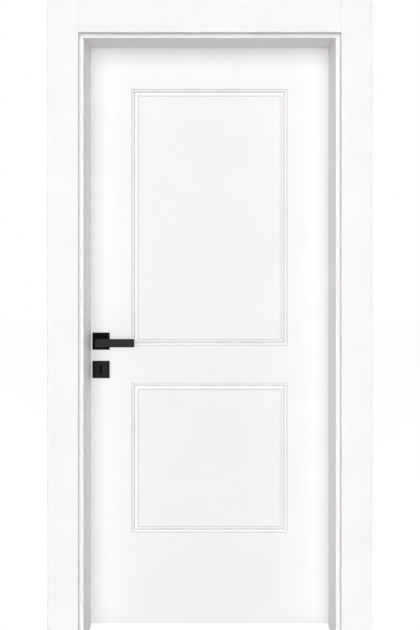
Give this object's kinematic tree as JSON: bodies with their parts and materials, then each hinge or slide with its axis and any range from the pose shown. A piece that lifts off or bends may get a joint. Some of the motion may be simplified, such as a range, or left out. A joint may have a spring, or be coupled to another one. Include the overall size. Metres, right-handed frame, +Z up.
{
  "type": "interior door with frame",
  "caption": "White single-leaf interior door with routed panels in a deep lined frame with casings, with a black flat-bar lever on a square rosette, square key plate, hinges and mortise lock.",
  "frame": {"origin": "on the floor, in the middle of the doorway's width and of the set's whole depth, handles included", "axes": "+X to the right across the doorway seen from the front, towards the hinges; +Y from the front to the back, the way the leaf opens; +Z up"},
  "size_m": [1.072, 0.261, 2.179],
  "materials": {
    "white_lacquer": "satin white lacquer",
    "black_metal": "matte black coating",
    "steel": "zinc plated",
    "gasket": "soft matte",
    "raw_wood": "bare softwood",
    "chipboard": "bare chipboard"
  },
  "bodies": {
    "frame": {"left_jamb": "white_lacquer", "right_jamb": "white_lacquer", "head_jamb": "white_lacquer", "left_stop": "white_lacquer", "right_stop": "white_lacquer", "head_stop": "white_lacquer", "front_left_casing": "white_lacquer", "front_right_casing": "white_lacquer", "front_head_casing": "white_lacquer", "back_left_casing": "white_lacquer", "back_right_casing": "white_lacquer", "back_head_casing": "white_lacquer", "left_seal": "gasket", "right_seal": "gasket", "head_seal": "gasket", "corner_screws": "steel", "strike_plate": "steel", "strike_screws": "steel", "top_hinge_frame_plate": "black_metal", "mid_hinge_frame_plate": "black_metal", "bottom_hinge_frame_plate": "black_metal", "top_hinge_pin": "black_metal", "mid_hinge_pin": "black_metal", "bottom_hinge_pin": "black_metal", "hinge_frame_screws": "black_metal"},
    "leaf": {"front_skin": "white_lacquer", "back_skin": "white_lacquer", "lock_stile": "white_lacquer", "hinge_stile": "white_lacquer", "top_rail": "white_lacquer", "bottom_rail": "white_lacquer", "lock_block": "raw_wood", "tubular_core": "chipboard", "top_hinge_leaf_plate": "black_metal", "mid_hinge_leaf_plate": "black_metal", "bottom_hinge_leaf_plate": "black_metal", "hinge_leaf_screws": "black_metal", "lock_case": "steel", "lock_cover": "steel", "lock_forend": "steel", "forend_screws": "steel", "latch_spring": "steel", "lever_spring": "steel", "front_rosette_base": "steel", "back_rosette_base": "steel", "front_rosette_cover": "black_metal", "back_rosette_cover": "black_metal", "rosette_bolts": "steel", "front_key_base": "steel", "back_key_base": "steel", "front_key_cover": "black_metal", "back_key_cover": "black_metal", "key_base_screws": "steel"},
    "lever": {"front_lever": "black_metal", "back_lever": "black_metal", "spindle": "steel", "follower": "steel", "grub_screws": "steel"},
    "latch": {"latch_bolt": "steel"},
    "bolt": {"dead_bolt": "steel"}
  },
  "joints": [
    {"name": "leaf_swing", "type": "hinge", "parent": "frame", "child": "leaf", "pos_m": [0.4335, 0.0898, 1], "axis": [0, 0, -1], "range_deg": [0, 110]},
    {"name": "lever_turn", "type": "hinge", "parent": "leaf", "child": "lever", "pos_m": [-0.383, 0.0615, 1.008], "axis": [0, 1, 0], "range_deg": [0, 40], "stiffness_Nm_per_rad": 1.5, "springref_deg": -25.78, "deforming": ["lever_spring"]},
    {"name": "latch_slide", "type": "slide", "parent": "leaf", "child": "latch", "axis": [1, 0, 0], "range_m": [0, 0.012], "deforming": ["latch_spring"]},
    {"name": "bolt_slide", "type": "slide", "parent": "leaf", "child": "bolt", "axis": [-1, 0, 0], "range_m": [0, 0.015]}
  ],
  "couplings": [
    {"joint": "latch_slide", "follows": "lever_turn", "m_per_rad": 0.01718}
  ]
}
